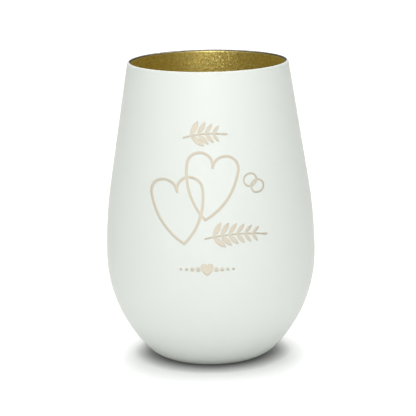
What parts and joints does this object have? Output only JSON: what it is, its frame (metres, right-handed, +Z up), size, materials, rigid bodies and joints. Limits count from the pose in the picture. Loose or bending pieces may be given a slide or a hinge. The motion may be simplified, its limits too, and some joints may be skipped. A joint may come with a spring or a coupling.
{
  "type": "unity candle glass",
  "caption": "Round-bellied stemless candle glass with a matt outer coat, a metallic lining, engraved linked hearts and leaf sprigs, and a tea light that lifts out.",
  "frame": {"origin": "centre of the ring that the glass stands on", "axes": "+Z up along the axis of the glass, the engraved side faces -Y, +X to the right as seen from that side"},
  "size_m": [0.088, 0.088, 0.1252],
  "materials": {
    "clear_glass": "clear, fire-polished",
    "white_lacquer": "matt sprayed lacquer, mint white",
    "gold_lacquer": "metallic flake lacquer, old gold",
    "frosted_glass": "laser-frosted, beige",
    "drawn_aluminium": "deep-drawn, bright",
    "wax": "waxy, off-white",
    "cotton_wick": "braided, waxed",
    "tinplate": "stamped"
  },
  "bodies": {
    "glass": {"glass_tumbler": "clear_glass", "outer_lacquer": "white_lacquer", "gold_lining": "gold_lacquer", "engraved_hearts": "frosted_glass", "engraved_upper_sprig": "frosted_glass", "engraved_lower_sprig": "frosted_glass", "engraved_rings": "frosted_glass", "engraved_bead_row": "frosted_glass"},
    "tea_light": {"tea_light_cup": "drawn_aluminium", "wax": "wax", "wick": "cotton_wick", "wick_sustainer": "tinplate"}
  },
  "joints": [
    {"name": "tea_light_lift", "type": "slide", "parent": "glass", "child": "tea_light", "axis": [0, 0, 1], "range_m": [0, 0.125]}
  ]
}
